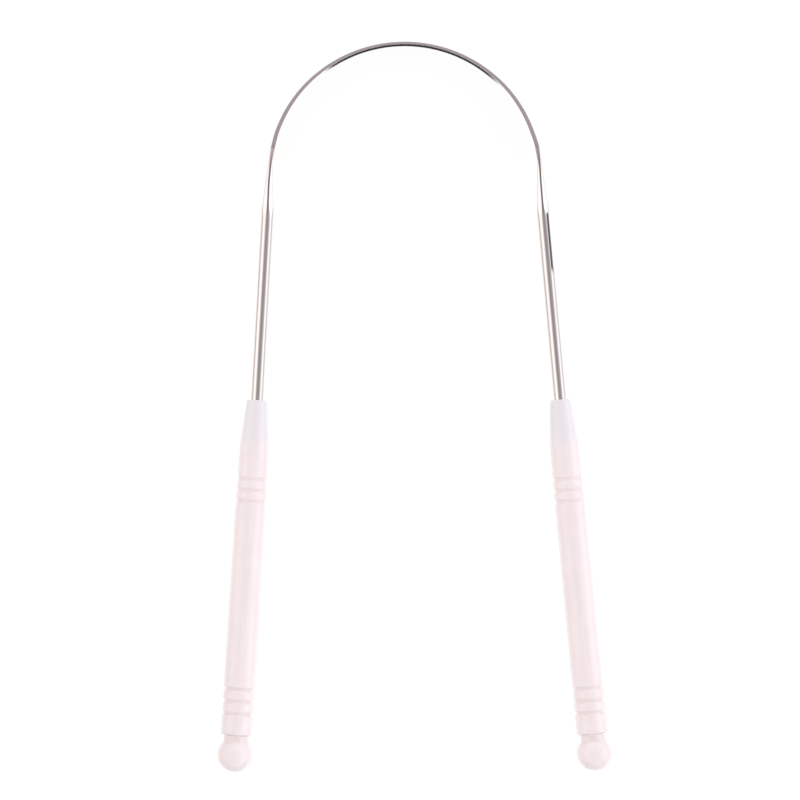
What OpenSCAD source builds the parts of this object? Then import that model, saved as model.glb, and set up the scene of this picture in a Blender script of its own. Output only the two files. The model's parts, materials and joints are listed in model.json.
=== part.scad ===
// Tongue scraper: a springy U of polished steel wire, pressed flat over its arch, with a moulded
// handle pressed onto each end. It lies flat, as it does on a table: +Y runs to the arch's crown,
// X runs across the two arms and +Z is up. The origin is at the middle of what it rests on.

/* [Arch] */
// Radius of the arch, to the middle of the band's thickness
arch_radius = 27.35; // [20:0.05:34]
// Thickness of the flattened band
band_thick = 0.6; // [0.4:0.05:1]
// Height of the flattened band, from one scraping edge to the other
band_height = 7; // [5:0.1:9]
// Rounding of the band's scraping edges
band_edge = 0.1; // [0.05:0.01:0.15]
// How far the flat band reaches down each side, counted from the crown
band_angle = 76; // [60:1:82]
// How far outwards of the round wire's middle the press leaves the band
band_shift = 0.35; // [0:0.05:0.6]
// Where each side of the arch flexes when the handles are squeezed, counted from the crown
flex_angle = 38; // [25:1:50]

/* [Wire] */
// Diameter of the round wire
wire_d = 2.5; // [2:0.1:3.2]
// Length over which the flat band turns into round wire
shoulder_length = 13; // [8:0.5:18]
// Width of the narrow ridge left along the top and bottom of each shoulder
ridge_width = 0.4; // [0.25:0.05:0.45]
// Height of each shoulder where it meets the round wire
ridge_height = 2.8; // [2.7:0.1:3.4]
// How slowly each shoulder starts to thicken, where 1 is an even taper
shoulder_flare = 1.3; // [1:0.1:1.8]
// Lip of each shoulder's skin, down from the band and up from the round wire
shoulder_lip = 0.03; // [0.01:0.01:0.04]
// Length of bare round wire between each shoulder and its handle
bare_wire = 37.7; // [15:0.1:60]
// Lean of each arm away from the centre line
splay_angle = 4.2; // [0:0.1:8]
// How far the hand-bent bow leans to one side, taken off the left arm and added to the right
lean_angle = 1; // [-2:0.1:2]
// Length of wire inside each handle
wire_in_handle = 10; // [6:0.5:14]
// Bevel around the wire's cut end
wire_bevel = 0.3; // [0.1:0.05:0.5]
// Length of the press mark on the outer side of the right arm
press_mark_length = 11; // [4:0.5:14]
// Depth of that press mark
press_mark_depth = 0.26; // [0.1:0.02:0.4]

/* [Handles] */
// How far each handle leans outwards of its arm, as it was pressed on
handle_tilt = 0.35; // [0:0.05:0.6]
// Diameter of the handle's top face, where the wire goes in
nose_d = 4.2; // [3.8:0.1:5]
// Length of the slim nose, which widens to the grip
nose_length = 8.8; // [5:0.1:12]
// Rounding of the nose's top edge
nose_round = 0.25; // [0.1:0.05:0.4]
// Diameter of the grip where the nose ends
grip_top_d = 5.74; // [5.2:0.02:6.4]
// Diameter of the grip below its upper rings
grip_mid_d = 6; // [5.4:0.02:6.6]
// Diameter of the grip at its lower end
grip_end_d = 6.18; // [5.4:0.02:6.8]
// Length of the handle from its top face to the end of the grip
grip_length = 67.1; // [55:0.1:80]
// Rounding of the grip's lower edge
grip_round = 0.5; // [0.2:0.05:0.8]
// Distance from the top face to the first of the upper rings
upper_rings_at = 15.85; // [12.5:0.05:20]
// Spacing of the upper rings
upper_ring_pitch = 2.22; // [1.6:0.02:3]
// Depth of the upper rings
upper_ring_depth = 0.2; // [0.1:0.02:0.3]
// Distance from the top face to the first of the lower rings
lower_rings_at = 57.9; // [35:0.1:58.5]
// Spacing of the lower rings
lower_ring_pitch = 2.42; // [1.6:0.02:2.6]
// Depth of the lower rings
lower_ring_depth = 0.28; // [0.1:0.02:0.4]
// Width of each ring groove
ring_width = 0.8; // [0.4:0.05:1.2]
// Number of grooves in each set of rings
ring_count = 3; // [1:1:3]
// Diameter of the neck between the grip and the end ball
neck_d = 4.9; // [3.6:0.1:5.2]
// Length of the neck, measured along the axis between the grip and the ball's skin
neck_length = 1.4; // [0.8:0.1:2]
// Diameter of the end ball
ball_d = 7; // [6.2:0.1:8.5]
// How much narrower the handle's socket is than the wire that is pressed into it
press_squeeze = 0.04; // [0:0.01:0.08]
// Room left in the socket past the wire's end
socket_room = 0.5; // [0.2:0.1:1]

/* [Hidden] */
$fn = 96;
// How far a cut runs past the surface that it opens
overrun = 1;
// How far the shapes that make up one leg run into each other
weld = 0.3;
// Sides are told apart by their sign along X
left = -1;
right = 1;
// Rings of points along a shoulder, and points round each corner of its section
shoulder_rings = 22;
corner_steps = 5;
// Points round each moulded edge, and round each ring groove
edge_steps = 4;
groove_steps = 6;
// Share of the shoulder's height, where it meets the wire, that its rounded corners take up
corner_share = 0.96;

// Both scraping edges and both end balls lie on one plane, so the part rests without rocking
mid_height = max(band_height, ball_d) / 2;
wire_r = wire_d / 2;
ball_r = ball_d / 2;
neck_r = neck_d / 2;
// Lengths measured along the middle of the wire, from the crown down one side
shoulder_start = arch_radius * band_angle * PI / 180;
shoulder_end = shoulder_start + shoulder_length;
handle_start = shoulder_end + bare_wire;
// The ball's centre, measured down the handle from its top face
ball_at = grip_length + neck_length + sqrt(ball_r * ball_r - neck_r * neck_r);

function arm_lean(side) = splay_angle + side * lean_angle;
function arc_end(side) = arch_radius * (90 - arm_lean(side)) * PI / 180;

// Turn of the wire away from the crown, at a length along it
function wire_turn(side, along) = min(along / arch_radius * 180 / PI, 90 - arm_lean(side));

// A point of the wire, on the right of the arch's own centre: round the arc first, then straight
// down the arm. It lies on the round wire's middle, or a distance outwards of it.
function wire_point(side, along, outwards = 0) =
    let (
        turn = wire_turn(side, along),
        past = max(along - arc_end(side), 0),
        radius = arch_radius - band_shift + outwards
    )
    [radius * sin(turn) + past * cos(turn), radius * cos(turn) - past * sin(turn)];

// The middle of a handle's end ball, which follows the handle's own lean
function ball_point(side) =
    let (lean = arm_lean(side) + handle_tilt)
    wire_point(side, handle_start) + ball_at * [sin(lean), -cos(lean)];

// The bounding box of the two arms and the arch sets where the arch's centre lies
left_ball = ball_point(left);
right_ball = ball_point(right);
arch_x = (left_ball[0] - right_ball[0]) / 2;
lowest_y = min(left_ball[1], right_ball[1]) - ball_r;
arch_y = -(arch_radius + band_thick / 2 + lowest_y) / 2;

function blend(from, to, share) = from + (to - from) * share;

// Section of flattened wire: X is across its thickness and Y is its height. Its four corners are
// quarter ellipses, which leave a narrow flat ridge along the top and bottom.
function backwards(points) = [for (i = [len(points) - 1 : -1 : 0]) points[i]];
function turned(points, x_sign, y_sign) = [for (p = points) [p[0] * x_sign, p[1] * y_sign]];
function flat_section(thick, height, ridge, corner_height) =
    let (corner = [
        for (i = [0 : corner_steps])
            let (turn = 90 * i / corner_steps)
            [
                blend(ridge, thick, sin(turn)) / 2,
                height / 2 - corner_height * (1 - cos(turn))
            ]
    ])
    concat(corner, turned(backwards(corner), 1, -1), turned(corner, -1, -1),
        turned(backwards(corner), -1, 1));

band_ridge = band_thick - 2 * band_edge;
band_section = flat_section(band_thick, band_height, band_ridge, band_edge);

// Section of a shoulder, from the band at share 0 to the round wire at share 1. The height follows
// from the metal's area, so the shoulder flares quickly towards the band, as pressed wire does.
function shoulder_section(share) =
    let (
        start_thick = band_thick - 2 * shoulder_lip,
        start_height = band_height - 2 * shoulder_lip,
        end_thick = wire_d + 2 * shoulder_lip,
        thick = blend(start_thick, end_thick, pow(share, shoulder_flare)),
        area = blend(start_thick * start_height, end_thick * ridge_height, share),
        ridge = blend(start_thick - 2 * band_edge, ridge_width, share),
        corner_height = blend(band_edge, ridge_height / 2 * corner_share, share)
    )
    flat_section(thick, area / thick, ridge, corner_height);

// Stands its children at the arch's centre. The left side is the right one mirrored.
module at_arch(side) {
    translate([arch_x, arch_y, mid_height])
        mirror([side < 0 ? 1 : 0, 0, 0])
            children();
}

// Points its children down an arm: their -Z runs along the wire, from a length measured along it
module down_arm(side, along) {
    at_arch(side)
        translate(wire_point(side, along))
            rotate([0, 0, arm_lean(side)])
                rotate([-90, 0, 0])
                    children();
}

// The flat band between two angles, counted from the crown towards the right
module band(from, to) {
    rotate([0, 0, 90 - to])
        rotate_extrude(angle = to - from, $fn = 360)
            translate([arch_radius, 0])
                polygon(band_section);
}

// How far outwards of the round wire's middle a shoulder lies, quickly less from the band on
function shoulder_shift(along) =
    let (left_over = min((shoulder_end - along) / shoulder_length, 1))
    band_shift * left_over * left_over;

// One shoulder, swept along the wire while its section turns from flat to nearly round
module shoulder(side) {
    per_ring = len(band_section);
    points = [
        for (ring = [0 : shoulder_rings])
            let (
                share = ring / shoulder_rings,
                along = blend(shoulder_start - weld, shoulder_end, share),
                middle = wire_point(side, along, shoulder_shift(along)),
                turn = wire_turn(side, along)
            )
            for (p = shoulder_section(share))
                [middle[0] + p[0] * sin(turn), middle[1] + p[0] * cos(turn), p[1]]
    ];
    walls = [
        for (ring = [0 : shoulder_rings - 1], i = [0 : per_ring - 1])
            let (
                here = ring * per_ring + i,
                next = ring * per_ring + (i + 1) % per_ring
            )
            each [[here, next, next + per_ring], [here, next + per_ring, here + per_ring]]
    ];
    start_cap = [for (i = [0 : per_ring - 1]) per_ring - 1 - i];
    end_cap = [for (i = [0 : per_ring - 1]) shoulder_rings * per_ring + i];
    polyhedron(points, concat([start_cap], walls, [end_cap]));
}

// Round wire from the shoulder to its bevelled end inside the handle
module round_wire(side) {
    length = weld + bare_wire + wire_in_handle;
    down_arm(side, shoulder_end - weld)
        translate([0, 0, -length]) {
            translate([0, 0, wire_bevel])
                cylinder(h = length - wire_bevel, r = wire_r);
            cylinder(h = wire_bevel, r1 = wire_r - wire_bevel, r2 = wire_r);
        }
}

module leg(side) {
    at_arch(side) {
        band(flex_angle, band_angle);
        shoulder(side);
    }
    round_wire(side);
}

// The flat that the press leaves on the outer side of one arm
module press_mark(side) {
    down_arm(side, shoulder_end - weld)
        translate([wire_r - press_mark_depth, -wire_r - overrun, -weld - press_mark_length])
            cube([press_mark_depth + overrun, wire_d + 2 * overrun, weld + press_mark_length]);
}

module bow_crown() {
    color("lightgray")
        at_arch(right)
            band(-flex_angle, flex_angle);
}

module bow_left_leg() {
    color("lightgray")
        leg(left);
}

module bow_right_leg() {
    color("lightgray")
        difference() {
            leg(right);
            press_mark(right);
        }
}

// Outline of a handle: X is the radius and Y falls from 0 at the top face
function grip_radius(down) =
    let (rings_end = upper_rings_at + (ring_count - 1) * upper_ring_pitch + ring_width)
    down < rings_end
        ? blend(grip_top_d, grip_mid_d, (down - nose_length) / (rings_end - nose_length)) / 2
        : blend(grip_mid_d, grip_end_d, (down - rings_end) / (grip_length - rings_end)) / 2;
function round_edge(radius, down, size, from) = [
    for (i = [0 : edge_steps])
        let (turn = from - 90 * i / edge_steps)
        [radius - size + size * cos(turn), -down + size * sin(turn)]
];
function groove(down, depth) = [
    for (i = [0 : groove_steps])
        let (y = down + ring_width * (i / groove_steps - 0.5))
        [grip_radius(y) - depth * (1 - cos(360 * i / groove_steps)) / 2, -y]
];
function rings(from, pitch, depth) = [
    for (i = [0 : ring_count - 1])
        each groove(from + i * pitch, depth)
];
handle_outline = concat(
    [[0, 0]],
    round_edge(nose_d / 2, nose_round, nose_round, 90),
    [[grip_top_d / 2, -nose_length]],
    rings(upper_rings_at, upper_ring_pitch, upper_ring_depth),
    rings(lower_rings_at, lower_ring_pitch, lower_ring_depth),
    round_edge(grip_end_d / 2, grip_length - grip_round, grip_round, 0),
    [[neck_r, -grip_length], [neck_r, -ball_at], [0, -ball_at]]
);

module handle(side) {
    socket_depth = wire_in_handle + socket_room;
    down_arm(side, handle_start)
        difference() {
            rotate([0, -handle_tilt, 0]) {
                rotate_extrude()
                    polygon(handle_outline);
                translate([0, 0, -ball_at])
                    sphere(r = ball_r);
            }
            translate([0, 0, -socket_depth])
                cylinder(h = socket_depth + overrun, d = wire_d - press_squeeze);
        }
}

module left_handle() {
    color("mistyrose")
        handle(left);
}

module right_handle() {
    color("mistyrose")
        handle(right);
}

bow_crown();
bow_left_leg();
bow_right_leg();
left_handle();
right_handle();
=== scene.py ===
import bpy
import json
import math
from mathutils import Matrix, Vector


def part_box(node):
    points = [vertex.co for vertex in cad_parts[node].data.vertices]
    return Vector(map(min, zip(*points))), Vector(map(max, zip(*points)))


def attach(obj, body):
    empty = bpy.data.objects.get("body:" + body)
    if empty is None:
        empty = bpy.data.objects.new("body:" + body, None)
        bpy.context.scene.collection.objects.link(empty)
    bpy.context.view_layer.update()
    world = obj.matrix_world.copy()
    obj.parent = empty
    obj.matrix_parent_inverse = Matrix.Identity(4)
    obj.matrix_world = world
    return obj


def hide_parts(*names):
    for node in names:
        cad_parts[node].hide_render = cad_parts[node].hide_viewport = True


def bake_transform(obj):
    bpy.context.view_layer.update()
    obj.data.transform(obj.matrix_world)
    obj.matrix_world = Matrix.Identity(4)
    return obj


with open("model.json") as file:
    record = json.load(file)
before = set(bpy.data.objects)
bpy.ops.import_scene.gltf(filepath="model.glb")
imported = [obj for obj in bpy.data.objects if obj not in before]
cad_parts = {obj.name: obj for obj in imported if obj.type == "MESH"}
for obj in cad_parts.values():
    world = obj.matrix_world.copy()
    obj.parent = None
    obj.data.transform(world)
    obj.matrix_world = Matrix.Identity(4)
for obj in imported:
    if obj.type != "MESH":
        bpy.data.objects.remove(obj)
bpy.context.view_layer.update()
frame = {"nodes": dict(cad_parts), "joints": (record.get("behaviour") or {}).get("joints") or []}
scene = bpy.context.scene
mm = 0.001
seamGap = 2e-7   # metres: points closer than this become one
print("frame loaded:", sorted(frame["nodes"]))


# A node tree, written as maths on its values
class Graph:
    def __init__(self, tree):
        self.tree = tree

    # Any node: its settings go in first, then the values or links of its sockets
    def node(self, kind, settings=None, sockets=None, output=0):
        made = self.tree.nodes.new(kind)
        for name, value in (settings or {}).items():
            if name == "stops":
                setStops(made.color_ramp, value)
            else:
                setattr(made, name, value)
        for name, value in (sockets or {}).items():
            if isinstance(value, Value):
                self.tree.links.new(value.socket, made.inputs[name])
            else:
                made.inputs[name].default_value = value
        return Value(self, made.outputs[output]) if len(made.outputs) else made

    def maths(self, operation, *terms):
        return self.node("ShaderNodeMath", {"operation": operation}, dict(enumerate(terms)))

    def vector(self, x, y, z):
        return self.node("ShaderNodeCombineXYZ", None, {0: x, 1: y, 2: z})

    def parts(self, vector):
        x = self.node("ShaderNodeSeparateXYZ", None, {0: vector})
        return x, x.other(1), x.other(2)

    def stretch(self, vector, factors):
        return self.node("ShaderNodeVectorMath", {"operation": "MULTIPLY"},
                         {0: vector, 1: factors})

    def mix(self, share, a, b):
        return self.node("ShaderNodeMix", {"data_type": "RGBA"}, {0: share, 6: a, 7: b}, 2)


# One socket: maths on it adds the nodes
class Value:
    def __init__(self, graph, socket):
        self.graph = graph
        self.socket = socket

    def other(self, output):
        return Value(self.graph, self.socket.node.outputs[output])

    def __add__(self, term):
        return self.graph.maths("ADD", self, term)

    def __radd__(self, term):
        return self.graph.maths("ADD", term, self)

    def __sub__(self, term):
        return self.graph.maths("SUBTRACT", self, term)

    def __rsub__(self, term):
        return self.graph.maths("SUBTRACT", term, self)

    def __mul__(self, term):
        return self.graph.maths("MULTIPLY", self, term)

    def __rmul__(self, term):
        return self.graph.maths("MULTIPLY", term, self)

    def __truediv__(self, term):
        return self.graph.maths("DIVIDE", self, term)

    def __pow__(self, term):
        return self.graph.maths("POWER", self, term)

    def __neg__(self):
        return self * -1

    def __abs__(self):
        return self.graph.maths("ABSOLUTE", self)

    def least(self, term):
        return self.graph.maths("MINIMUM", self, term)

    def most(self, term):
        return self.graph.maths("MAXIMUM", self, term)

    def sin(self):
        return self.graph.maths("SINE", self)

    def cos(self):
        return self.graph.maths("COSINE", self)

    def nearest(self):
        return self.graph.maths("ROUND", self)

    def above(self, limit):
        return self.graph.maths("GREATER_THAN", self, limit)

    def below(self, limit):
        return self.graph.maths("LESS_THAN", self, limit)

    # 0 before start, 1 from end on, and even in between
    def share(self, start, end):
        return ((self - start) / (end - start)).most(0).least(1)

    # The same, with soft ends
    def soft(self, start, end):
        t = self.share(start, end)
        return t * t * (3 - 2 * t)

    # 1 between two places, with soft edges
    def window(self, start, end, edge):
        return self.soft(start - edge, start) * (1 - self.soft(end, end + edge))


def opaque(colour):
    return (*colour, 1)


black = opaque((0, 0, 0))
white = opaque((1, 1, 1))


def setStops(ramp, stops):
    while len(ramp.elements) < len(stops):
        ramp.elements.new(1)
    for element, (place, colour) in zip(ramp.elements, stops):
        element.position = place
        element.color = opaque(colour)


def blend(start, end, share):
    return start + (end - start) * share


# Starts a Geometry Nodes tree with a named input for each size
def startShape(name, sizes):
    tree = bpy.data.node_groups.new(name, "GeometryNodeTree")
    tree.is_modifier = True
    tree.interface.new_socket(name="Geometry", in_out="INPUT", socket_type="NodeSocketGeometry")
    tree.interface.new_socket(name="Geometry", in_out="OUTPUT", socket_type="NodeSocketGeometry")
    for size in sizes:
        tree.interface.new_socket(name=size, in_out="INPUT", socket_type="NodeSocketFloat")
    graph = Graph(tree)
    entry = tree.nodes.new("NodeGroupInput")
    named = {size: Value(graph, entry.outputs[size]) for size in sizes}
    return tree, graph, named


# A grid of rings, as a tube that the rules below bend into shape: ring and step count from 0
def tubeGrid(graph, rings, steps):
    grid = graph.node("GeometryNodeMeshGrid", None,
                      {"Size X": 1, "Size Y": 1, "Vertices X": rings, "Vertices Y": steps + 1})
    x, y, _ = graph.parts(graph.node("GeometryNodeInputPosition"))
    return grid, ((x + 0.5) * (rings - 1)).nearest(), ((y + 0.5) * steps).nearest()


# Ends the tree: places the grid, keeps the piece's own coordinates, and closes its seam and poles
def endShape(graph, grid, place, ownPlace, extra, flipWhere, flatWhere, material):
    shape = graph.node("GeometryNodeStoreNamedAttribute",
                       {"data_type": "FLOAT_VECTOR", "domain": "POINT"},
                       {"Geometry": grid, "Name": "ownPlace", "Value": ownPlace})
    for name, value in extra.items():
        shape = graph.node("GeometryNodeStoreNamedAttribute",
                           {"data_type": "FLOAT", "domain": "POINT"},
                           {"Geometry": shape, "Name": name, "Value": value})
    shape = graph.node("GeometryNodeSetPosition", None, {"Geometry": shape, "Position": place})
    shape = graph.node("GeometryNodeMergeByDistance", None,
                       {"Geometry": shape, "Distance": seamGap})
    shape = graph.node("GeometryNodeFlipFaces", None, {"Mesh": shape, "Selection": flipWhere})
    shape = graph.node("GeometryNodeSetShadeSmooth", None, {"Geometry": shape})
    own = graph.node("GeometryNodeInputNamedAttribute", {"data_type": "FLOAT_VECTOR"},
                     {"Name": "ownPlace"})
    shape = graph.node("GeometryNodeSetShadeSmooth", None,
                       {"Geometry": shape, "Selection": flatWhere(graph, own),
                        "Shade Smooth": False})
    shape = graph.node("GeometryNodeRealizeInstances", None, {"Geometry": shape})
    shape = graph.node("GeometryNodeSetMaterial", None, {"Geometry": shape, "Material": material})
    graph.node("NodeGroupOutput", None, {0: shape})


# Runs a tree with its sizes and keeps the plain mesh
def makePiece(name, tree, sizes):
    worker = bpy.data.objects.new(name + "Worker", bpy.data.meshes.new(name + "Worker"))
    scene.collection.objects.link(worker)
    modifier = worker.modifiers.new("Shape", "NODES")
    modifier.node_group = tree
    for item in tree.interface.items_tree:
        if item.in_out == "INPUT" and item.name in sizes:
            modifier[item.identifier] = float(sizes[item.name])
    seen = worker.evaluated_get(bpy.context.evaluated_depsgraph_get())
    mesh = bpy.data.meshes.new_from_object(seen)
    worker.modifiers.remove(modifier)
    bpy.data.objects.remove(worker)
    mesh.name = name
    piece = bpy.data.objects.new(name, mesh)
    scene.collection.objects.link(piece)
    print(name, "has", len(mesh.vertices), "points")
    return piece


def startMaterial(name):
    material = bpy.data.materials.new(name)
    material.use_nodes = True
    material.node_tree.nodes.clear()
    return material, Graph(material.node_tree)


def endMaterial(graph, sockets):
    shader = graph.node("ShaderNodeBsdfPrincipled", None, sockets)
    graph.node("ShaderNodeOutputMaterial", None, {"Surface": shader})


def noise(graph, place, scale, detail=2.0):
    return graph.node("ShaderNodeTexNoise", None,
                      {"Vector": place, "Scale": scale, "Detail": detail, "Roughness": 0.55})


def bumpOf(graph, height, strength, distance):
    return graph.node("ShaderNodeBump", None,
                      {"Strength": strength, "Distance": distance, "Height": height})


# The bow is one wire, pressed flat over its arch. Millimetres, degrees, and lengths from the crown
bow = {
    "archRadius": 27.35,       # to the middle of the flat band
    "bandThick": 0.6,          # as it would be if the press had left it even
    "bandHeight": 7.0,
    "bandAngle": 76.0,         # how far the flat band reaches down each side
    "bandEdge": 0.03,          # rounding of the scraping edges
    "bandShift": 0.35,         # how far outwards the press left the band
    "crownThick": 0.47,        # the band is thinner at its crown than at its ends
    "bandEndThick": 0.84,
    "thickFrom": 2.0,          # where it starts to grow
    "thickFade": 5.0,          # how far into the shoulder it fades out again
    "crownInset": 0.085,       # how far inside its arc the band lies, at its crown and its ends
    "bandEndInset": 0.24,
    "insetGrows": (22, 38),    # the lengths between which that grows
    "insetFade": 9.0,
    "wireRadius": 1.25,
    "shoulderLength": 13.0,    # where the band turns into round wire
    "shoulderFlare": 1.3,
    "shoulderRound": 0.3,      # rounding where its slopes turn into its sides
    "shoulderShift": 0.085,    # how far both shoulders stand to the right of their arms
    "shiftedAt": (36, 40.5, 3),     # from, to, and the length of each soft end
    "ridge": 0.32,             # flat left along the top of a shoulder
    "ridgeRound": 0.03,        # rounding of its two edges
    "roofSlope": 33.0,         # slope at which a shoulder falls away from its ridge
    "ridgeNarrows": (0.03, 0.48),   # shares of the shoulder between which each of these happens
    "cornerGrows": (0.02, 0.4),
    "roofRises": (0, 0.12),
    "roundingLength": 3.8,     # over which the ridge turns into the round wire
    "roundedPast": 1.7,        # how far past the shoulder that ends
    "bareWire": 37.7,
    "wireInHandle": 10.0,
    "wireBevel": 0.3,
    "splayAngle": 4.2,
    "leanAngle": 1.0,          # taken off the left arm and added to the right
    "markDepth": 0.2,          # the press mark on the outside of the right arm
    "markLength": 12.3,
    "markGap": 0.4,            # from the shoulder's end
    "markSlope": 21.0,         # how far its two bevels lean inwards
    "markBevel": 0.85,         # their depth, as a share of the flat's
    "markRise": 0.2,           # lengths over which it starts and runs out
    "markFade": 1.8,
    "fineStep": 0.25,          # spacing of the rings of points, down to past the mark and below it
    "coarseStep": 1.0,
    "finePast": 1.6,
    "endRings": 6,             # more rings, for the two ends
    "flatSteps": 4,            # points round a quarter of the section: side, corner, slope,
    "cornerSteps": 12,         # rounding beside the ridge, and ridge
    "roofSteps": 3,
    "crestSteps": 6,
    "ridgeSteps": 2,
}

shoulderStart = bow["archRadius"] * math.radians(bow["bandAngle"])
shoulderEnd = shoulderStart + bow["shoulderLength"]
handleStart = shoulderEnd + bow["bareWire"]
wireEnd = handleStart + bow["wireInHandle"]
midHeight = bow["bandHeight"] / 2
roundedEnd = shoulderEnd + bow["roundedPast"]
markStart = shoulderEnd + bow["markGap"]
markEnd = markStart + bow["markLength"]
hair = 0.002               # length of the first ring, so that the two halves meet without a seam

# The frame says where the arch's middle is
hinges = {joint["name"]: joint["pos_m"] for joint in frame["joints"]}
archX = (hinges["left_flex"][0] + hinges["right_flex"][0]) / 2 / mm
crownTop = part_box("bow_crown")[1].y / mm
archY = crownTop - bow["archRadius"] - bow["bandThick"] / 2
sides = {"left": -1, "right": 1}


def armLean(side):
    return math.radians(bow["splayAngle"] + side * bow["leanAngle"])


# A place on the middle of the round wire, by its length from the crown
def wirePlace(side, along):
    turn = min(along / bow["archRadius"], math.pi / 2 - armLean(side))
    past = max(along - bow["archRadius"] * (math.pi / 2 - armLean(side)), 0)
    radius = bow["archRadius"] - bow["bandShift"]
    return (archX + side * (radius * math.sin(turn) + past * math.cos(turn)),
            archY + radius * math.cos(turn) - past * math.sin(turn))


# Thickness, height, ridge, the radii beside it and at the corner, and roof slope of the section
def wireSection(along):
    share = along.share(shoulderStart, shoulderEnd)
    thick = blend(bow["bandThick"], 2 * bow["wireRadius"], share ** bow["shoulderFlare"])
    area = blend(bow["bandThick"] * bow["bandHeight"], 4 * bow["wireRadius"] ** 2, share)
    height = area / thick
    bandThick = blend(bow["crownThick"], bow["bandEndThick"],
                      along.soft(bow["thickFrom"], shoulderStart))
    onBand = 1 - along.soft(shoulderStart, shoulderStart + bow["thickFade"])
    swell = (bandThick - bow["bandThick"]) * onBand
    thick = thick + swell
    rounded = along.soft(roundedEnd - bow["roundingLength"], roundedEnd)
    bandRidge = bow["bandThick"] + swell - 2 * bow["bandEdge"]
    ridge = blend(bandRidge, bow["ridge"], share.soft(*bow["ridgeNarrows"]))
    ridge = blend(ridge, 0, rounded)
    crest = blend(bow["ridgeRound"], thick / 2, rounded)
    corner = blend(bow["bandEdge"], bow["shoulderRound"], share.soft(*bow["cornerGrows"]))
    corner = blend(corner, thick / 2, rounded)
    slope = math.radians(bow["roofSlope"]) * share.soft(*bow["roofRises"])
    return thick, height, ridge, crest, corner, slope


def bowShape(material):
    tree, graph, size = startShape("bowHalf", ["Side", "Arm Lean", "Mark Depth"])
    side, lean, markDepth = size["Side"], size["Arm Lean"], size["Mark Depth"]
    fineEnd = markEnd + bow["finePast"]
    fineRings = round(fineEnd / bow["fineStep"])
    coarseRings = math.ceil((wireEnd - fineEnd) / bow["coarseStep"])
    rings = fineRings + coarseRings + bow["endRings"]
    corners = bow["flatSteps"] + bow["cornerSteps"]
    roofs = corners + bow["roofSteps"]
    crests = roofs + bow["crestSteps"]
    quarter = crests + bow["ridgeSteps"]
    grid, ring, step = tubeGrid(graph, rings, 4 * quarter)

    # Length along the wire. The first ring and the last shrink to a point, which closes the ends
    fine = (ring - 2).most(0).least(fineRings) * ((fineEnd - hair) / fineRings)
    coarse = (ring - 2 - fineRings).most(0) * bow["coarseStep"]
    isEnd = ring.above(rings - 2.5)
    bevelled = ((ring - 1).share(0, 1) * hair + fine + coarse).least(wireEnd - bow["wireBevel"])
    along = blend(bevelled, wireEnd, isEnd)
    fullness = ring.share(0, 1) * (1 - ring.share(rings - 2, rings - 1))
    fullness = fullness * (1 - isEnd * bow["wireBevel"] / bow["wireRadius"])

    # Round the section, a quarter at a time: half a side, its corner, the roof, its crest and half
    # the ridge
    turnNumber = graph.maths("FLOOR", step / quarter)
    isOdd = graph.maths("MODULO", turnNumber, 2)
    local = step - turnNumber * quarter
    local = blend(local, quarter - local, isOdd)
    onFlat = 1 - local.share(0, bow["flatSteps"])
    onCorner = local.share(bow["flatSteps"], corners)
    onRoof = local.share(corners, roofs)
    onCrest = local.share(roofs, crests)
    onRidge = local.share(crests, quarter)
    signX = 1 - 2 * turnNumber.above(0.5) * turnNumber.below(2.5)
    signZ = 1 - 2 * turnNumber.above(1.5) * turnNumber.below(3.5)

    thick, height, ridge, crest, corner, roofSlope = wireSection(along)
    turn = blend(math.pi / 2, roofSlope, onCorner)
    crestTurn = roofSlope * (1 - onCrest)
    roofTop = ridge / 2 + crest * crestTurn.sin()
    across = blend(thick / 2 - corner * (1 - turn.sin()), roofTop, onRoof) * (1 - onRidge)
    roofWidth = thick / 2 - corner * (1 - roofSlope.sin()) - ridge / 2 - crest * roofSlope.sin()
    drop = roofWidth * roofSlope.sin() / roofSlope.cos() * (1 - onRoof)
    drop = drop + crest * (1 - crestTurn.cos())
    upwards = height / 2 - drop - corner * (roofSlope.cos() - turn.cos())
    upwards = upwards * (1 - onFlat * onFlat * onFlat)

    # The press mark: a flat and two bevels, which run out down the arm
    mark = along.soft(markStart - bow["markRise"], markStart)
    mark = mark * (1 - along.soft(markEnd - bow["markFade"], markEnd))
    slope = math.radians(bow["markSlope"])
    cut = markDepth * mark
    bevel = bow["wireRadius"] - cut * bow["markBevel"] - upwards * math.sin(slope)
    bevel = bevel / math.cos(slope)
    farOut = 9                 # beyond the section, where nothing is cut
    across = across * signX
    across = across.least(bow["wireRadius"] - cut).least(blend(farOut, bevel, mark.above(0)))
    across = across * fullness
    upwards = upwards * signZ * fullness

    # Out along the arch and down the arm
    arcEnd = bow["archRadius"] * (math.pi / 2 - lean)
    bend = (along / bow["archRadius"]).least(math.pi / 2 - lean)
    past = (along - arcEnd).most(0)
    leftOver = 1 - along.share(shoulderStart, shoulderEnd)
    inset = blend(bow["crownInset"], bow["bandEndInset"], along.soft(*bow["insetGrows"]))
    inset = inset * (1 - along.soft(shoulderStart, shoulderStart + bow["insetFade"]))
    shift = bow["bandShift"] * (leftOver * leftOver - 1) - inset
    shift = shift + side * along.window(*bow["shiftedAt"]) * bow["shoulderShift"]
    radius = bow["archRadius"] + shift + across
    x = archX + side * (radius * bend.sin() + past * bend.cos())
    y = archY + radius * bend.cos() - past * bend.sin()
    place = graph.vector(x * mm, y * mm, (midHeight + upwards) * mm)
    own = graph.vector(side * along, across, upwards)

    def isCap(graph, own):
        return abs(graph.parts(own)[0]).below(hair / 4)

    endShape(graph, grid, place, own, {"pressMark": mark * markDepth / bow["markDepth"]},
             side.above(0), isCap, material)
    return tree


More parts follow.
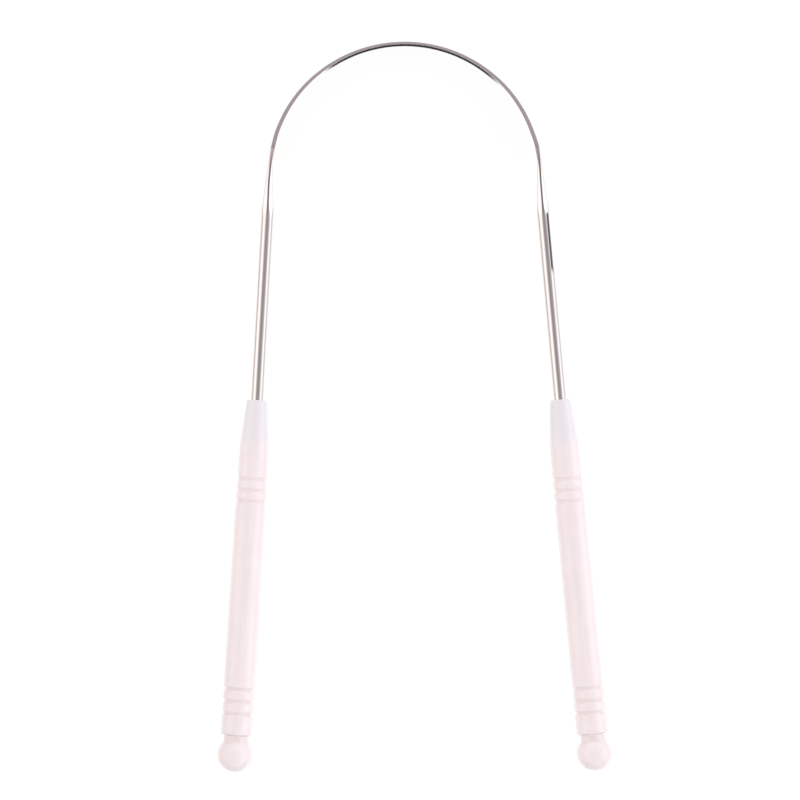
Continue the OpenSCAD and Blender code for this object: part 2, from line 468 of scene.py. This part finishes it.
# Polished stainless steel: drawing lines along the wire, dull scraping edges
# The press mark and the shoulders' ridges are painted dark, as painted reflections
steelLook = {
    "bright": (0.76, 0.74, 0.745),
    "dull": (0.66, 0.63, 0.64),
    "edge": (0.86, 0.82, 0.835),
    # Painted dark reflections: for the press mark and for the shoulders' ridges
    "markDark": (0.022, 0.012, 0.03),
    "ridgeDark": (0.42, 0.38, 0.39),
    "roughness": 0.05,
    "edgeRoughness": 0.2,
    # What these add to the roughness
    "markRoughness": 0.2,
    "brushedRoughness": 0.08,
    "drawnRoughness": 0.03,
    "cloudyRoughness": 0.03,
    # How much of the dull colour these bring, and how much of the edges' colour the spots take off
    "spotsDull": 0.35,
    "brushedDull": 0.4,
    "spotsOnEdge": 0.4,
    "ridgeShare": 0.9,         # how much of their painted dark reflection the ridges and the mark take
    "markShare": 0.95,
    # Patterns, by how close they lie along the wire, across it and upwards, and their heights
    "drawnLines": (0.25, 9, 9),
    "brushing": (0.12, 6, 14),
    "speckles": (1.2, 3, 3),
    "drawnHeight": 0.6,
    "brushedHeight": 0.8,
    "speckledHeight": 0.4,
    "bump": (0.12, 0.00002),   # strength and depth
    "insideSmooth": (0.6, 0.8),     # what the inner face lacks of the roughness and the heights
    # Where each place fades in or out, in millimetres: past the start or the end of a shoulder
    "bandEnds": (-2.0, 5.0),
    "ridgeStarts": (-1.0, 2.5),
    "ridgeEnds": (-1.5, 1.2),
    "ridgeSides": (0.14, 0.22),     # sideways and upwards from the middle of the wire
    "ridgeHeight": 0.9,
    "edgeDepths": (0.25, 0.12),     # from the band's edge
    "markOut": (0.5, 0.66),    # outwards and upwards from the middle of the wire
    "markUp": (0.08, 0.28),
}


def steelMaterial():
    material, graph = startMaterial("polishedSteel")
    own = graph.node("ShaderNodeAttribute", {"attribute_name": "ownPlace"}, None, "Vector")
    lengthwise, across, upwards = graph.parts(own)
    along = abs(lengthwise)
    marked = graph.node("ShaderNodeAttribute", {"attribute_name": "pressMark"}, None, "Fac")
    drawn = noise(graph, graph.stretch(own, steelLook["drawnLines"]), 1.0, 3)
    brushed = noise(graph, graph.stretch(own, steelLook["brushing"]), 1.0, 4)
    speckled = noise(graph, graph.stretch(own, steelLook["speckles"]), 2.2, 4)
    cloudy = noise(graph, own, 0.6)
    spots = speckled.soft(0.45, 0.75)

    def fadeIn(place, ends):
        return along.soft(place + ends[0], place + ends[1])

    # The places: band, scraping edges, sides, inner face, press mark, and ridges of the shoulders
    onBand = 1 - fadeIn(shoulderStart, steelLook["bandEnds"])
    edgeDeep, edgeFull = steelLook["edgeDepths"]
    onEdge = abs(upwards).soft(midHeight - edgeDeep, midHeight - edgeFull) * onBand
    onSide = onBand * (1 - onEdge)
    inside = onSide * across.below(0)
    inMark = marked * across.soft(*steelLook["markOut"]) * abs(upwards).soft(*steelLook["markUp"])
    onRidge = fadeIn(shoulderStart, steelLook["ridgeStarts"])
    onRidge = onRidge * (1 - fadeIn(shoulderEnd, steelLook["ridgeEnds"]))
    onRidge = onRidge * (1 - abs(across).soft(*steelLook["ridgeSides"]))
    onRidge = onRidge * abs(upwards).above(steelLook["ridgeHeight"])

    worn = spots * steelLook["spotsDull"]
    worn = (worn + onSide * brushed.soft(0.4, 0.65) * steelLook["brushedDull"]).least(1)
    colour = graph.mix(worn, opaque(steelLook["bright"]), opaque(steelLook["dull"]))
    colour = graph.mix(onEdge * (1 - spots * steelLook["spotsOnEdge"]), colour,
                       opaque(steelLook["edge"]))
    # Painted dark reflection along the ridges of the shoulders
    colour = graph.mix(onRidge * steelLook["ridgeShare"], colour, opaque(steelLook["ridgeDark"]))
    # Near-black paint on the press mark: a painted dark reflection
    colour = graph.mix(inMark * steelLook["markShare"], colour, opaque(steelLook["markDark"]))

    smoothInside, flatInside = steelLook["insideSmooth"]
    roughness = steelLook["roughness"] + cloudy.soft(0.4, 0.7) * steelLook["cloudyRoughness"]
    roughness = roughness + drawn.soft(0.5, 0.75) * steelLook["drawnRoughness"]
    roughness = roughness + onEdge * (steelLook["edgeRoughness"] - steelLook["roughness"])
    roughness = roughness + inMark * steelLook["markRoughness"]
    roughness = roughness + onSide * brushed.soft(0.35, 0.7) * steelLook["brushedRoughness"]
    roughness = roughness * (1 - inside * smoothInside)

    height = drawn * steelLook["drawnHeight"]
    height = height + speckled * steelLook["speckledHeight"] * (0.4 + onEdge)
    height = height + brushed * onSide * steelLook["brushedHeight"]
    height = height * (1 - inside * flatInside)
    endMaterial(graph, {
        "Base Color": colour,
        "Metallic": 1.0,
        "Roughness": roughness,
        "Normal": bumpOf(graph, height, *steelLook["bump"]),
    })
    return material


steel = steelMaterial()
bowTree = bowShape(steel)
bowHalves = {}
for sideName, side in sides.items():
    bowHalves[sideName] = makePiece("bow" + sideName.capitalize(), bowTree, {
        "Side": side,
        "Arm Lean": armLean(side),
        "Mark Depth": bow["markDepth"] if side > 0 else 0,
    })
print("bow made")


# The handles are two mouldings, pressed onto the wire's ends. Millimetres and degrees
handle = {
    "tilt": 0.35,              # how far it leans outwards of its arm, as pressed on
    "socketRadius": 1.23,
    "socketDepth": 10.5,
    "lip": 0.1,                # rounding of the socket's mouth
    "noseRadius": 2.1,
    "noseRound": 0.25,
    "noseLength": 8.8,
    "gripTop": 2.87,           # radius where the nose ends, below the upper rings, and at the end
    "gripMiddle": 3.0,
    "gripEnd": 3.09,
    "middlePast": 0.8,         # how far below the last upper ring the middle radius is reached
    "gripLength": 67.1,
    "gripRound": 0.5,
    "upperRings": (15.85, 2.22, 0.2),    # place of the first, spacing, depth
    "lowerRings": (57.9, 2.42, 0.28),
    "ringCount": 3,
    "ringWidth": 1.0,
    "ringWall": 0.34,          # width of each of a groove's two walls
    "ringMargin": 0.7,         # how far past the grooves the points stay close
    "neckRadius": 2.45,
    "neckLength": 1.4,
    "neckFillet": 0.3,
    "ballRadius": 3.5,
    "around": 96,              # points round it
}


def handleShape(material):
    sizeNames = ["Side", "Lean", "Top X", "Top Y", "Ring Width", "Ring Wall"]
    tree, graph, size = startShape("handleTurned", sizeNames)
    side, lean = size["Side"], size["Lean"]
    lip, noseRound, gripRound = handle["lip"], handle["noseRound"], handle["gripRound"]
    fillet, ball = handle["neckFillet"], handle["ballRadius"]
    ballAngle = math.asin(handle["neckRadius"] / ball)
    upperAt, upperPitch, _ = handle["upperRings"]
    lowerAt, lowerPitch, lowerDepth = handle["lowerRings"]
    last = handle["ringCount"] - 1
    upperEnd = upperAt + last * upperPitch
    lowerEnd = lowerAt + last * lowerPitch
    middleAt = upperEnd + handle["middlePast"]
    margin = handle["ringMargin"]

    # Ways to go from 0 to 1: not at all, evenly, and round a quarter of a turn
    def still(t):
        return 0 * t

    def evenly(length):
        return lambda t: length * t

    def sine(length):
        return lambda t: length * (t * math.pi / 2).sin()

    def cosine(length):
        return lambda t: length * (1 - (t * math.pi / 2).cos())

    def ballTurn(t):
        return blend(ballAngle, math.pi, t)

    # The outline, stretch by stretch, from the bottom of the socket to the ball's end: the number
    # of rings, and what it adds to the radius and to the distance down the handle
    face = handle["noseRadius"] - noseRound - handle["socketRadius"] - lip
    endFace = handle["neckRadius"] + fillet + gripRound - handle["gripEnd"]
    outline = [
        (1, evenly(handle["socketRadius"]), still),              # the socket's floor
        (8, still, evenly(lip - handle["socketDepth"])),         # and wall
        (4, cosine(lip), sine(-lip)),
        (4, evenly(face), still),
        (6, sine(noseRound), cosine(noseRound)),
        (14, evenly(handle["gripTop"] - handle["noseRadius"]),
         evenly(handle["noseLength"] - noseRound)),
    ]
    grips = [
        (12, handle["noseLength"], upperAt - margin),
        (64, upperAt - margin, upperEnd + margin),
        (40, upperEnd + margin, lowerAt - margin),
        (68, lowerAt - margin, lowerEnd + margin),
        (10, lowerEnd + margin, handle["gripLength"] - gripRound),
    ]
    outline += [(count, still, evenly(end - start)) for count, start, end in grips]
    outline += [
        (9, cosine(-gripRound), sine(gripRound)),
        (3, evenly(endFace), still),
        (6, sine(-fillet), cosine(fillet)),
        (5, still, evenly(handle["neckLength"] - fillet)),       # the neck
        (40, lambda t: ball * (ballTurn(t).sin() - math.sin(ballAngle)),
         lambda t: ball * (math.cos(ballAngle) - ballTurn(t).cos())),
    ]
    rings = sum(stretch[0] for stretch in outline) + 1
    grid, ring, step = tubeGrid(graph, rings, handle["around"])
    down = handle["socketDepth"]
    radius = 0
    first = 0
    for count, addRadius, addDown in outline:
        t = ring.share(first, first + count)
        down = addDown(t) + down
        radius = addRadius(t) + radius
        first += count
    outside = ring.above(outline[0][0] + outline[1][0] + 0.5)
    upper = down.share(handle["noseLength"], middleAt) * (handle["gripMiddle"] - handle["gripTop"])
    lower = down.share(middleAt, handle["gripLength"]) * (handle["gripEnd"] - handle["gripMiddle"])
    radius = radius + (upper + lower) * outside

    # Each set of grooves: the distance to the nearest one gives the depth
    groove = 0
    for at, pitch, depth in (handle["upperRings"], handle["lowerRings"]):
        number = ((down - at) / pitch).nearest().most(0).least(last)
        away = abs(down - at - number * pitch)
        inside = 1 - away.soft(size["Ring Width"] / 2 - size["Ring Wall"], size["Ring Width"] / 2)
        groove = inside * depth + groove
    groove = groove * outside
    radius = radius - groove

    # Round its axis; the socket leans back to the arm's own line
    angle = step * (2 * math.pi / handle["around"])
    across = radius * angle.cos()
    upwards = radius * angle.sin()
    along = across - down * math.tan(math.radians(handle["tilt"])) * (1 - outside)
    x = size["Top X"] + side * (lean.sin() * down + lean.cos() * along)
    y = size["Top Y"] - lean.cos() * down + lean.sin() * along
    place = graph.vector(x * mm, y * mm, (midHeight + upwards) * mm)
    own = graph.vector(across, upwards, down)

    # Every face is shaded smooth
    def nowhere(graph, own):
        return graph.parts(own)[2].below(-1)

    endShape(graph, grid, place, own, {"grooved": groove / lowerDepth},
             side.above(0), nowhere, material)
    return tree


# Glossy pale pink plastic, opaque here, with a grey tint where the wire would show through it
# Its grooves and its neck are darkened with painted shade
plasticLook = {
    "pink": (0.842, 0.761, 0.79),
    "paler": (0.876, 0.801, 0.837),
    "overWire": (0.778, 0.76, 0.82),
    "inGroove": (0.806, 0.713, 0.72),
    "roughness": 0.16,
    "refraction": 1.6,
    "flow": (1.1, 1.1, 0.12),  # flow lines, stretched down the handle
    "flowPaler": 0.6,          # how much of the paler colour flow lines and clouds bring
    "cloudsPaler": 0.3,
    "flowRoughness": 0.08,
    "cloudsRoughness": 0.06,
    "bump": (0.15, 0.00003),   # strength and depth
    "tintStarts": (-0.3, 0.6),      # how far down the wire's tint fades in and out, in millimetres
    "tintEnds": (5.5, 11.5),
    "tintRagged": (5, 3),      # how far flow lines and clouds move its end
    "tintSides": (1.0, 2.6),   # where it fades towards its sides, and by how much
    "sideLoss": 0.45,
    "grooveShare": 0.8,        # how much painted shade the grooves take, and at most
    "grooveMost": 0.52,
    "neckShare": 0.65,         # how much painted shade the neck takes, and where, below the grip's end
    "neckShade": (0.5, 1.3),
    "neckFade": 0.5,
}


def plasticMaterial():
    material, graph = startMaterial("palePinkPlastic")
    own = graph.node("ShaderNodeAttribute", {"attribute_name": "ownPlace"}, None, "Vector")
    across, _, down = graph.parts(own)
    grooved = graph.node("ShaderNodeAttribute", {"attribute_name": "grooved"}, None, "Fac")
    flow = noise(graph, graph.stretch(own, plasticLook["flow"]), 1.0, 3)
    cloudy = noise(graph, own, 0.35, 2)
    grain = noise(graph, own, 5.0, 2)
    paler = flow.soft(0.35, 0.7) * plasticLook["flowPaler"]
    paler = paler + cloudy.soft(0.4, 0.7) * plasticLook["cloudsPaler"]
    colour = graph.mix(paler, opaque(plasticLook["pink"]), opaque(plasticLook["paler"]))

    byFlow, byClouds = plasticLook["tintRagged"]
    ragged = down + (flow - 0.5) * byFlow + (cloudy - 0.5) * byClouds
    overWire = 1 - ragged.soft(*plasticLook["tintEnds"])
    overWire = overWire * down.soft(*plasticLook["tintStarts"])
    sideways = abs(across).soft(*plasticLook["tintSides"])
    overWire = overWire * (1 - sideways * plasticLook["sideLoss"])
    colour = graph.mix(overWire, colour, opaque(plasticLook["overWire"]))

    # Painted shade in the grooves and on the neck
    neckStart, neckEnd = [handle["gripLength"] + past for past in plasticLook["neckShade"]]
    neck = down.window(neckStart, neckEnd, plasticLook["neckFade"])
    shaded = (grooved * plasticLook["grooveShare"]).least(plasticLook["grooveMost"])
    shaded = shaded + neck * plasticLook["neckShare"]
    colour = graph.mix(shaded, colour, opaque(plasticLook["inGroove"]))

    roughness = plasticLook["roughness"] + (flow - 0.5) * plasticLook["flowRoughness"]
    roughness = roughness + (cloudy - 0.5) * plasticLook["cloudsRoughness"]
    endMaterial(graph, {
        "Base Color": colour,
        "Roughness": roughness,
        "IOR": plasticLook["refraction"],
        "Normal": bumpOf(graph, grain * 0.5 + flow, *plasticLook["bump"]),
    })
    return material


plastic = plasticMaterial()
handleTree = handleShape(plastic)
handles = {}
for sideName, side in sides.items():
    topX, topY = wirePlace(side, handleStart)
    handles[sideName] = makePiece("handle" + sideName.capitalize(), handleTree, {
        "Side": side,
        "Lean": armLean(side) + math.radians(handle["tilt"]),
        "Top X": topX,
        "Top Y": topY,
        "Ring Width": handle["ringWidth"],
        "Ring Wall": handle["ringWall"],
    })
print("handles made")


# Each half of the bow is baked in place, the CAD parts it stands for are hidden, and the handles
# ride on the sides
crownPlace = (archX * mm, (crownTop - bow["bandThick"] / 2) * mm, midHeight * mm)
for sideName, side in sides.items():
    turn = math.radians(bow["bandAngle"])
    bandEnd = ((archX + side * bow["archRadius"] * math.sin(turn)) * mm,
               (archY + bow["archRadius"] * math.cos(turn)) * mm, midHeight * mm)
    half, grip, body = bowHalves[sideName], handles[sideName], sideName + "_side"
    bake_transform(half)
    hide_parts("bow_crown", "bow_%s_leg" % sideName)
    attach(grip, body)
    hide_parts(sideName + "_handle")


# Floor, light and camera
studio = {
    "floorSize": 12.0,         # metres
    "floorDrop": 0.00002,
    "floorColour": (0.15, 0.15, 0.15),
    "floorGlow": 0.88,
    "bounce": 0.7,             # the light that comes back from the floor
    # Soft lamps that the gloss doesn't mirror: degrees from straight up to the right, strength
    "fills": [(70, 0.96), (-80, 0.35)],
    "fillSpread": 60.0,
    "stretch": 0.2,            # how much longer than wide the dark patch overhead is
    "sideBlend": 0.35,         # how softly the left side's light turns into the right's
    "endDim": 0.17,            # how much dimmer it is low down where the handles point to
    "endDimFrom": (0.45, 0.75),
    # The dark card under the arch, by parts of a direction: its near edge and how that slants, its
    # far edge, how nearly straight down it starts, and how dark it is
    "cardEdge": (0.0273, 0.0293),
    "cardSlant": 0.11,
    "cardReach": 0.16,
    "cardBelow": (0.98, 0.985),
    "cardDark": 0.96,
    "brightest": 2.0,
    # Degrees from straight up, then the light from there; warm from the left, cool from the right
    "left": [
        (0, (0.40, 0.35, 0.365)), (10, (0.43, 0.37, 0.375)), (18, (0.56, 0.46, 0.43)),
        (28, (0.89, 0.78, 0.72)), (38, (1.24, 1.18, 1.11)), (48, (1.42, 1.39, 1.35)),
        (60, (1.42, 1.40, 1.37)), (74, (1.25, 1.22, 1.18)), (90, (0.92, 0.80, 0.73)),
        (103, (0.64, 0.52, 0.46)), (112, (0.84, 0.76, 0.70)), (122, (1.06, 1.02, 0.98)),
        (134, (1.12, 1.09, 1.05)), (180, (1.15, 1.13, 1.11)),
    ],
    "right": [
        (0, (0.40, 0.35, 0.365)), (14, (0.42, 0.38, 0.39)), (26, (0.47, 0.445, 0.46)),
        (36, (0.58, 0.55, 0.565)), (45, (0.87, 0.83, 0.84)), (53, (1.20, 1.19, 1.18)),
        (63, (1.46, 1.45, 1.44)), (76, (1.35, 1.33, 1.30)), (92, (1.0, 0.95, 0.90)),
        (103, (0.76, 0.70, 0.65)), (112, (0.92, 0.86, 0.82)), (122, (1.13, 1.1, 1.07)),
        (134, (1.2, 1.18, 1.15)), (180, (1.18, 1.17, 1.15)),
    ],
    "cameraPlace": (-2.96, 1.39, 1073.5),    # millimetres
    "focalLength": 240.75,
}


def makePlane(name, drop):
    half = studio["floorSize"] / 2
    corners = [(-half, -half), (half, -half), (half, half), (-half, half)]
    mesh = bpy.data.meshes.new(name)
    mesh.from_pydata([(x, y, -drop) for x, y in corners], [], [(0, 1, 2, 3)])
    plane = bpy.data.objects.new(name, mesh)
    scene.collection.objects.link(plane)
    plane.visible_glossy = False   # the gloss mirrors the studio's light instead
    return plane


# The floor that is seen is so bright that no shadow shows on it, so a second one, seen by nothing
# but the plastic's soft shading, gives back a real floor's share of the light
def makeFloor():
    floor = makePlane("floor", studio["floorDrop"])
    floor.visible_diffuse = False
    material, graph = startMaterial("paleFloor")
    endMaterial(graph, {
        "Base Color": opaque(studio["floorColour"]),
        "Roughness": 0.9,
        "Specular IOR Level": 0.0,
        "Emission Color": white,
        "Emission Strength": studio["floorGlow"],
    })
    floor.data.materials.append(material)

    bounce = makePlane("floorBounce", 2 * studio["floorDrop"])
    bounce.visible_camera = False
    bounce.visible_shadow = False
    material, graph = startMaterial("bounceLight")
    graph.node("ShaderNodeOutputMaterial", None, {"Surface": graph.node(
        "ShaderNodeEmission", None, {"Color": white, "Strength": studio["bounce"]})})
    bounce.data.materials.append(material)


def makeFills():
    for number, (lean, strength) in enumerate(studio["fills"]):
        name = "fillLamp%d" % number
        lamp = bpy.data.lights.new(name, "SUN")
        lamp.energy = strength
        lamp.angle = math.radians(studio["fillSpread"])
        fill = bpy.data.objects.new(name, lamp)
        scene.collection.objects.link(fill)
        fill.rotation_euler = (0, math.radians(lean), 0)
        fill.visible_glossy = False


def makeWorld():
    world = bpy.data.worlds.new("studio")
    scene.world = world
    world.use_nodes = True
    world.node_tree.nodes.clear()
    graph = Graph(world.node_tree)
    towards = graph.node("ShaderNodeTexCoord", None, None, "Generated")
    x, y, z = graph.parts(towards)
    raised = (z + y * y * z.most(0) * studio["stretch"]).least(1)
    angle = graph.maths("ARCCOSINE", raised) / math.pi

    def lightFrom(stops):
        dimmed = [(place / 180, [part / studio["brightest"] for part in colour])
                  for place, colour in stops]
        return graph.node("ShaderNodeValToRGB", {"stops": dimmed}, {0: angle})

    sideways = x.soft(-studio["sideBlend"], studio["sideBlend"])
    light = graph.mix(sideways, lightFrom(studio["left"]), lightFrom(studio["right"]))
    endDim = (-y).soft(*studio["endDimFrom"]) * studio["endDim"]
    light = graph.mix(endDim, light, black)
    # Only the crown's inner face mirrors the card
    card = (-y - x * studio["cardSlant"]).soft(*studio["cardEdge"])
    card = card * y.above(-studio["cardReach"]) * (-z).soft(*studio["cardBelow"])
    light = graph.mix(card * studio["cardDark"], light, black)
    graph.node("ShaderNodeOutputWorld", None, {0: graph.node(
        "ShaderNodeBackground", None, {"Color": light, "Strength": studio["brightest"]})})


def makeCamera():
    camera = bpy.data.objects.new("camera", bpy.data.cameras.new("camera"))
    scene.collection.objects.link(camera)
    camera.location = [part * mm for part in studio["cameraPlace"]]
    camera.data.lens = studio["focalLength"]
    camera.data.clip_start = 0.01
    scene.camera = camera


makeFloor()
makeFills()
makeWorld()
makeCamera()
scene.view_settings.view_transform = "Standard"
print("studio made")
